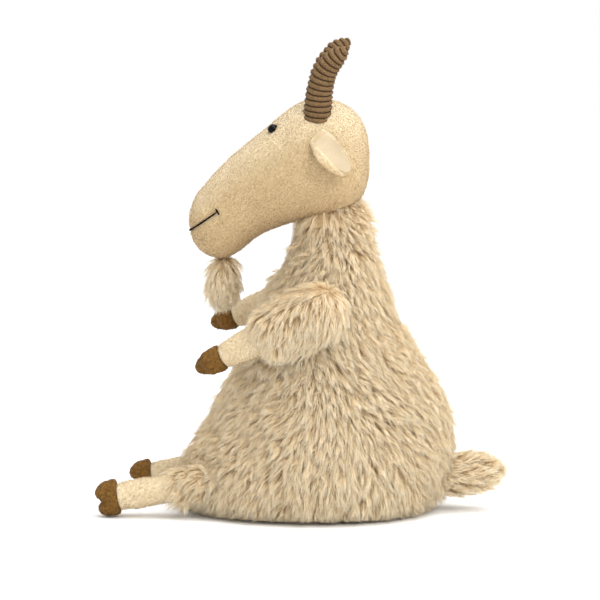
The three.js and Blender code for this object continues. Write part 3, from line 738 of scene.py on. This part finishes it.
def thread_tube(line, radius, twist, around=10):
    """A laid thread: a round tube whose surface shows slanting stitches."""
    steps = len(line)
    tangent = unit(np.gradient(line, axis=0))
    side = unit(np.cross(tangent, UP + 0.01))
    over = np.cross(tangent, side)
    q = np.linspace(0, 2 * np.pi, around, endpoint=False)
    along = np.arange(steps)
    ends = np.sqrt(np.clip(1 - (2 * along / (steps - 1) - 1) ** 16, 0.12, 1))
    r = radius * (1 + 0.14 * np.sin(twist * along[:, None] + 2 * q[None])) * ends[:, None]
    round_it = np.cos(q)[None, :, None] * side[:, None] + np.sin(q)[None, :, None] * over[:, None]
    rings = line[:, None] + r[..., None] * round_it
    return Skin(line[0] - tangent[0] * radius * 0.5, rings, line[-1] + tangent[-1] * radius * 0.5)


def join(name, skins, material):
    verts, loops, sizes, uv, base = [], [], [], [], 0
    for k, s in enumerate(skins):
        verts.append(s.verts)
        loops.append(s.loops + base)
        sizes.append(s.sizes)
        uv.append(s.uv * np.array([1 / len(skins), 1]) + np.array([k / len(skins), 0]))
        base += len(s.verts)
    whole = [np.concatenate(x) for x in (verts, loops, sizes)]
    return make_object(name, *whole, material, np.concatenate(uv))


def finer(line, count):
    t = np.linspace(0, len(line) - 1, count)
    return np.stack([np.interp(t, np.arange(len(line)), line[:, k]) for k in range(3)], 1)


snout = head_place(np.array([0, -MOUTH_CENTRE, 0.0]))
laid = mouth + unit(mouth - snout) * 0.15
threads = [thread_tube(finer(laid, 260), 0.52, 0.55)]
for k in (0, -1):
    way = unit(np.array([0.0, 2.0, -3.4]))
    tick = laid[k] + way * np.linspace(-2.1, 2.1, 24)[:, None] + np.array([0.12 * np.sign(laid[k][0]), 0, 0])
    threads.append(thread_tube(tick, 0.5, 0.55))
smile = join("smile", threads, thread)
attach(smile, "head")
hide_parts("mouth_stitch")


# ---- horns ----
RIB = 3.4


def horn_skin(side, sign):
    form = HORN[side]
    line = form[:, :3].copy()
    reach = np.concatenate([[0], np.cumsum(np.linalg.norm(np.diff(line, axis=0), axis=1))])
    rows = np.column_stack([reach, line, form[:, 3]])
    total, around = reach[-1] + 1.2, 72
    t = np.linspace(-3.0, total, 220)[:-1]
    t = np.concatenate([t, total - np.array([0.14, 0.06, 0.015])])
    centre = np.stack(smooth(rows, t)[:3], 1)
    centre[:, 2] += np.minimum(t, 0) + np.maximum(t - reach[-1], 0) * 0.4
    centre[:, 1] += np.maximum(t - reach[-1], 0) * 0.8
    radius = smooth(rows, t)[3]
    along = unit(np.gradient(centre, axis=0))
    over = unit(np.cross(along, np.array([1.0, 0, 0])))
    across = np.cross(over, along)
    q = np.linspace(0, 2 * np.pi, around, endpoint=False)
    tt, qq = np.meshgrid(t, q, indexing="ij")
    r = np.random.default_rng(21 + int(sign))
    uneven = sum(np.sin(k * qq + r.uniform(0, 6.3) + tt * r.uniform(0.3, 1.1)) for k in (2, 3, 5, 7)) / 4
    sag = 1.2 * np.cos(qq) + 0.12 * uneven
    phase = np.mod((tt - 1.4 + sag) / RIB, 1.0)
    rib = np.abs(np.sin(np.pi * phase)) ** 0.75
    close = round_end(tt, -40, total, 0.001, 9.0)
    size = radius[:, None] * close + (1.25 * rib - 1.0 + 0.25 * uneven) * np.minimum(1, close * 1.6)
    size = size + 0.9 * np.exp(-((tt - 1.2) / 1.5) ** 2)
    front = np.exp(-(np.angle(np.exp(1j * (qq - np.pi / 2))) / 0.07) ** 2) * np.clip((tt - 20) / 6, 0, 1)
    size = np.maximum(0.02, size - 0.35 * front)
    round_it = np.cos(qq)[..., None] * across[:, None] + np.sin(qq)[..., None] * over[:, None]
    rings = centre[:, None] + size[..., None] * round_it
    # painted shade: low in the channels between the ribs, lower near the base, and kept lighter along the seam in
    # front
    channel = np.clip(rib * 1.3 - 0.3, 0, 1) * (1 - 0.45 * np.exp(-((tt + 0.2) / 1.6) ** 2)) + 0.3 * front
    tip = centre[-1] + along[-1] * 0.05
    flip = np.array([sign, 1, 1])
    base = np.array([HORN_X, 0, 0])
    values = np.concatenate([[1.0], np.clip(channel, 0, 1).ravel(), [1.0]])
    root = centre[0] - along[0] * 0.2
    return Skin((root + base) * flip, (rings + base) * flip, (tip + base) * flip), values


for side, sign in SIDES.items():
    skin, channel = horn_skin(side, sign)
    horn = padded_piece(skin, f"{side}_horn_skin", corduroy, "head", "corduroy", f"{side}_horn",
                         f"{side}_horn_stuffing", fill=0.9)
    layer = horn.data.attributes.new("channel", "FLOAT", "POINT")
    layer.data.foreach_set("value", channel.astype(np.float32))
    tree = kdtree.KDTree(len(skin.verts))
    for k, v in enumerate(skin.verts):
        tree.insert(Vector(v), k)
    tree.balance()
    on_rib = lambda p, tree=tree, channel=channel: np.array(
        [channel[tree.find(Vector(x))[1]] > 0.72 for x in p]).astype(float)
    fuzz(f"{side}_horn_fuzz", "head", skin, cord_fuzz, "corduroy", 31 + int(sign), density=2.2, length=0.95,
         keep=on_rib, lean=0.6, width=0.085)


# ---- ears ----
EAR_LOW = np.array([[-4, -5.5], [0, -7], [8.75, -9.2], [17, -8.4], [22.5, -6.2], [25.2, -3.6], [26, -1.2]])
EAR_HIGH = np.array([[-4, 5.5], [0, 6.6], [6.5, 7.3], [14, 7.0], [21, 5.2], [25.0, 2.4], [26, 0.2]])
EAR_U = np.array([0, 0.724, 0.69])


def ear_axes(sign):
    u = unit(EAR_U)
    w = unit(np.array([sign * 0.3, 0.69, -0.724]))
    n = unit(np.cross(u, w))
    return u, w, n if n[0] * sign > 0 else -n


def ear_skin(sign, shrink, low, high, begin=-3.5, steps=44, around=96):
    u, w, n = ear_axes(sign)
    end = 26 - shrink * 0.6
    along = begin + (end - begin) * np.sin(np.linspace(0.02, np.pi / 2 - 0.02, steps))
    q = np.linspace(0, 2 * np.pi, around, endpoint=False)
    stretch = 26 / end
    left = smooth(EAR_LOW, np.maximum(along, -4) * stretch)[0] + shrink * 2.8
    right = smooth(EAR_HIGH, np.maximum(along, -4) * stretch)[0] - shrink * 0.5
    middle, half = (left + right) / 2, np.maximum(0.15, (right - left) / 2)
    c, s = np.cos(q), np.sin(q)
    wide = np.sign(c) * np.abs(c) ** 0.75
    thick = np.sign(s) * np.abs(s) ** 0.6
    x = middle[:, None] + half[:, None] * wide[None]
    share = x / 9.4
    roll = 2.5 * np.sqrt(np.maximum(0, 1 - ((share + 0.74) / 0.36) ** 2)) * (shrink == 0)
    cup = 2.4 * share ** 2 + roll * np.clip(1.2 - along[:, None] / 26, 0.35, 1) * (s[None] > 0)
    tip_drop = 0.028 * np.clip(along[:, None] - 10, 0, 20) ** 1.6
    cup = cup * np.clip((along[:, None] + 2) / 12, 0.15, 1) - tip_drop
    height = (low + high) / 2 + (high - low) / 2 * thick[None] * np.minimum(1, half[:, None] / 3) + cup
    rings = (EAR_ROOT * np.array([sign, 1, 1]) + x[..., None] * u + 1.1 * along[:, None, None] * w
             + height[..., None] * n)
    first = rings[0].mean(0) - 0.3 * w
    last = rings[-1].mean(0) + 0.3 * w
    return Skin(first, rings, last)


for side, sign in SIDES.items():
    ear = ear_skin(sign, 0.0, -0.2, 2.5)
    padded_piece(ear, f"{side}_ear_back", velour, f"{side}_ear", "velour", f"{side}_ear", fill=0.7)
    ear_w = ear_axes(sign)[1]
    root = EAR_ROOT * np.array([sign, 1, 1])
    lining = ear_skin(sign, 1.15, 2.2, 3.1, begin=-0.5)
    piece = lining.make(f"{side}_ear_inner", suede)
    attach(piece, f"{side}_ear")
    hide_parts(f"{side}_ear_lining")
    hidden = kdtree.KDTree(len(lining.verts))
    for k, v in enumerate(lining.verts):
        hidden.insert(Vector(v), k)
    hidden.balance()
    open_ear = lambda p, hidden=hidden, root=root, w=ear_w: (
        (np.array([hidden.find(Vector(x))[2] for x in p]) > 0.75) & ((p - root) @ w > -0.5)).astype(float)
    fuzz(f"{side}_ear_fuzz", f"{side}_ear", ear, cream_fuzz, "velour", 41 + int(sign), density=2.0,
         length=1.6, keep=open_ear, lean=0.6)


# ---- beard ----
beard_place = lambda p: turn_x(p, 86.0) * np.array([1.15, 1, 1]) + np.array([0, -49, 153.2])
beard = bar([[-4, 3.0], [0, 5.0], [8, 7.0], [16, 7.4], [23, 4.2]], 4, 8, beard_place, 26, 32)
padded_piece(beard, "beard_core", pile_back, "beard", "long_pile", "beard", fill=0.7)
r = np.random.default_rng(51)
p, n = beard.scatter(2.4, r)
way = -UP[None] + 0.1 * n
fur("beard_fur", "beard", p, n, way, long_pile, "long_pile", r, np.full(len(p), 15.0), lean=0.26, droop=0.14,
    clump=7, width=0.125, steps=4, wave=0.9, spread=0.4, gather=0.78, tone=1.25)


# ---- arms ----
LIMB_PILE = dict(clump=8, width=0.13, steps=4, wave=0.9, gather=0.78)


def limb_place(pivot, dip, toe=0.0):
    return lambda p: turn_x(turn_z(p, toe), dip) + pivot


def outside(p):
    """Zero for points well inside the torso, where no pile is needed."""
    front, back, half = smooth(BODY, np.clip(p[:, 2], 0, 178))
    depth = (back - front) / 2 - 5
    rim = ((p[:, 0] / (half - 5)) ** 2 + ((p[:, 1] - (front + back) / 2) / depth) ** 2) > 1
    return rim.astype(float)


def hoof_skin(place, begin, end, half_height, half_width, cleft):
    """A padded hoof with a cleft in front: its two toes lie side by side, or one above the other."""
    rows = [[begin, 0.93], [begin + 1.6, 1.03], [(begin + end) / 2, 1.0], [end, 0.92]]
    local = bar(rows, 0.9, (end - begin) * 0.42, lambda p: p, 56, 80)
    v = local.verts
    v[:, 0] *= half_width
    v[:, 2] *= half_height
    x, half = (v[:, 0], half_width) if cleft == "along" else (v[:, 2], half_height)
    share = np.clip((-v[:, 1] - begin - 1.5) / (end - begin - 1.5), 0, 1)
    split = np.exp(-np.abs((x + (0.8 if cleft == "across" else 0.0)) / 1.5) ** 1.3) * share ** 0.8
    toe = np.tanh(x / 2.0)
    lobe = np.cos(np.clip(np.abs(x) / half - 0.5, -0.5, 0.5) * np.pi)
    uneven = 0.9 * toe * share if cleft == "across" else -(3.0 + 1.5 * (toe > 0)) * toe * share
    v[:, 1] += 2.4 * split * share - 1.2 * lobe * share * (1 - split) - uneven
    other = 2 if cleft == "along" else 0
    v[:, other] *= 1 - 0.3 * split
    if cleft == "along":
        v[:, 2] = v[:, 2] * (1 + share * np.abs(toe) * np.where(toe > 0, 0.16, -0.22)) + 0.6 * toe * share
    axis = 0 if cleft == "along" else 2
    v[:, axis] += np.sign(x) * 0.8 * share * (1 - split)
    local.verts = place(v)
    return local


LIMB_END = 1000.0


def between(pivot, ahead, start, end):
    """Keeps points whose distance from the pivot along the limb lies between start and end."""
    def keep(p):
        reach = (p - pivot) @ ahead
        return ((reach > start) & (reach < end)).astype(float)
    return keep


def upright(p, at):
    """Leans a hind hoof back so that it stands up straight at the end of the dipping leg."""
    share = np.clip((-p[:, 1:2] - at) / 4, 0, 1)
    return p + share * np.stack([0 * p[:, 2], np.tan(math.radians(HIND_HOOF_LEAN)) * p[:, 2], 0 * p[:, 2]], 1)


for side, sign in SIDES.items():
    pivot = ARM_PIVOT[side]
    place = limb_place(pivot, ARM_DIP[side], ARM_TURN[side])
    body = f"{side}_arm"
    sleeve = bar([[-17, 17], [0, 17], [16, 18.2], [30, 17.2], [41, 14.5]], 17, 6, place, 44, 56, grow=-2.4)
    padded_piece(sleeve, f"{side}_sleeve", pile_back, body, "long_pile", f"{side}_upper_arm", fill=0.8)
    r = np.random.default_rng(61 + int(sign))
    p, n = sleeve.scatter(1.5, r, outside)
    ahead = unit(place(np.array([0, -1.0, 0])) - place(np.zeros(3)))
    way = 0.55 * ahead - 0.85 * UP + 0.25 * n
    reach = np.interp(-(p - pivot) @ -ahead, [0, 40], [17, 15])
    way = way + 0.4 * swirl(p, 30, 14)[:, None] * np.cross(n, ahead)
    fur(f"{side}_sleeve_fur", body, p, n, way, long_pile, "long_pile", r, reach, lean=0.42, droop=0.26,
        spread=0.3, **LIMB_PILE)

    fore = bar([[16, 12.0], [24, 11.8], [40, 10.6], [58, 8.3], [67.4, 7.3]], 3, 2.2, place, 40, 56,
               warp=lambda s, q: 0.22 * np.sin(s * 0.31 + 2 * q) + 0.15 * np.sin(s * 0.7 - 3 * q))
    padded_piece(fore, f"{side}_forearm_skin", limb_velour, body, "velour", f"{side}_forearm", fill=0.9)
    shown = between(pivot, ahead, *FOREARM_BARE)
    fuzz(f"{side}_forearm_fuzz", body, fore, limb_fuzz, "velour", 71 + int(sign), density=1.9, length=1.9,
         keep=shown, lean=0.6, flow=ahead * 0.8)

    end, tall, wide = FRONT_HOOF[side]
    hoof = hoof_skin(place, FRONT_HOOF_START, end, tall, wide, "along")
    padded_piece(hoof, f"{side}_front_hoof_skin", hoof_velour, body, "brown_velour", f"{side}_front_hoof",
                 fill=0.9)
    fuzz(f"{side}_front_hoof_fuzz", body, hoof, brown_fuzz, "brown_velour", 81 + int(sign), density=2.0,
         length=1.3, keep=between(pivot, ahead, FRONT_HOOF_PILE, LIMB_END), lean=0.6, width=0.09, patchy=0.6)

    # ---- legs ----
    body = f"{side}_leg"
    pivot = np.array([sign * LEG_X, LEG_Y[side], LEG_Z])
    place = limb_place(pivot, LEG_DIP)
    ahead = unit(place(np.array([0, -1.0, 0])) - place(np.zeros(3)))
    leg = bar([[-9, 9], [0, 9], [20, 8.6], [40, 8.7], [53.4, 8.3]], 9, 2.0, place, 44, 56,
              warp=lambda s, q: 0.25 * np.sin(s * 0.27 + 2 * q) + 0.18 * np.sin(s * 0.55 - 3 * q))
    padded_piece(leg, f"{side}_leg_skin", limb_velour, body, "velour", f"{side}_leg", fill=0.9)
    bare = between(pivot, ahead, *LEG_BARE)
    fuzz(f"{side}_leg_fuzz", body, leg, limb_fuzz, "velour", 91 + int(sign), density=1.9, length=1.9,
         keep=lambda p, bare=bare: bare(p) * outside(p), lean=0.6, flow=ahead * 0.8)
    r = np.random.default_rng(121 + int(sign))
    thigh = lambda p, pivot=pivot, ahead=ahead: (((p - pivot) @ ahead < THIGH_PILE_END) * outside(p)).astype(float)
    p, n = leg.scatter(1.7, r, thigh)
    way = ahead - 0.5 * UP + 0.5 * swirl(p, 20, 15)[:, None] * np.cross(n, ahead)
    fur(f"{side}_thigh_fur", body, p, n, way, long_pile, "long_pile", r, np.full(len(p), 15.0), lean=0.4,
        droop=0.25, spread=0.4, **LIMB_PILE)
    stand = lambda p, place=place: place(upright(p, HIND_HOOF_START))
    hoof = hoof_skin(stand, HIND_HOOF_START, HIND_HOOF_END, HIND_HOOF_TALL, HIND_HOOF_WIDE, "across")
    padded_piece(hoof, f"{side}_hind_hoof_skin", hoof_velour, body, "brown_velour", f"{side}_hind_hoof",
                 fill=0.9)
    fuzz(f"{side}_hind_hoof_fuzz", body, hoof, brown_fuzz, "brown_velour", 101 + int(sign), density=2.0,
         length=1.3, keep=between(pivot, ahead, HIND_HOOF_PILE, LIMB_END), lean=0.6, width=0.09, patchy=0.6)


# ---- tail ----
tail_place = lambda p: turn_x(turn_z(p, 180.0), 5.0) + TAIL_PIVOT
tail = bar([[-12, 12], [0, 12], [14, 13], [26, 11.5], [39, 8]], 12, 8, tail_place, 36, 44, grow=-2.4)
padded_piece(tail, "tail_core", pile_back, "tail", "long_pile", "tail", fill=0.8)
r = np.random.default_rng(111)
p, n = tail.scatter(1.6, r, outside)
way = np.array([0, 0.95, 0.0]) + 0.3 * n
fur("tail_fur", "tail", p, n, way, long_pile, "long_pile", r, np.full(len(p), 15.0), lean=0.34, droop=0.05,
    spread=0.3, **LIMB_PILE)


# ---- the parts inside, and the seat ----
INNER = {
    "base_panel": plain_weave, "bean_pouch": plain_weave, "body_stuffing": filling,
    "head_stuffing": filling, "tail_stuffing": filling,
}
for side in SIDES:
    for part in ("arm_stuffing", "leg_stuffing"):
        INNER[f"{side}_{part}"] = filling
    INNER[f"{side}_eye_washer"] = washer_mat
for name, material in INNER.items():
    owner = bpy.data.objects[name]
    for holder in owner.material_slots:
        holder.material = material


# ---- stage, light and camera ----
bpy.ops.mesh.primitive_plane_add(size=6, location=(0, 0, -0.0002))
floor = bpy.context.object
floor.name = "floor"
floor_mat, _, _ = new_material("pale_floor", (0.99, 0.99, 0.985), 0.95, 0.05)
floor.data.materials.append(floor_mat)

scene = bpy.context.scene
scene.view_settings.view_transform = "Standard"
world = bpy.data.worlds.new("studio")
world.use_nodes = True
world.node_tree.nodes["Background"].inputs["Color"].default_value = (1, 1, 1, 1)
world.node_tree.nodes["Background"].inputs["Strength"].default_value = 1.0
scene.world = world


def soft_box(name, at, towards, size, power):
    light = bpy.data.lights.new(name, "AREA")
    light.shape = "SQUARE"
    light.size = size
    light.energy = power
    lamp = bpy.data.objects.new(name, light)
    lamp.location = at
    lamp.rotation_euler = (Vector(towards) - Vector(at)).to_track_quat("-Z", "Y").to_euler()
    scene.collection.objects.link(lamp)


soft_box("overhead", (0.1, 0.15, 1.3), (0, 0, 0.1), 1.0, 11)
soft_box("key", (0.9, 0.75, 1.0), (0, 0, 0.15), 0.5, 8)
soft_box("glint", (0.14, 0.62, 1.3), (0, 0, 0.2), 0.1, 2.0)

CAMERA_AT, CAMERA_AIM, CAMERA_LENS = (2.3737, 0.1638, 0.4441), (0, -0.0022, 0.1308), 232.3
camera_data = bpy.data.cameras.new("camera")
camera_data.lens = CAMERA_LENS
camera_data.sensor_width = 36
camera = bpy.data.objects.new("camera", camera_data)
camera.location = CAMERA_AT
camera.rotation_euler = (Vector(CAMERA_AIM) - camera.location).to_track_quat("-Z", "Y").to_euler()
scene.collection.objects.link(camera)
scene.camera = camera
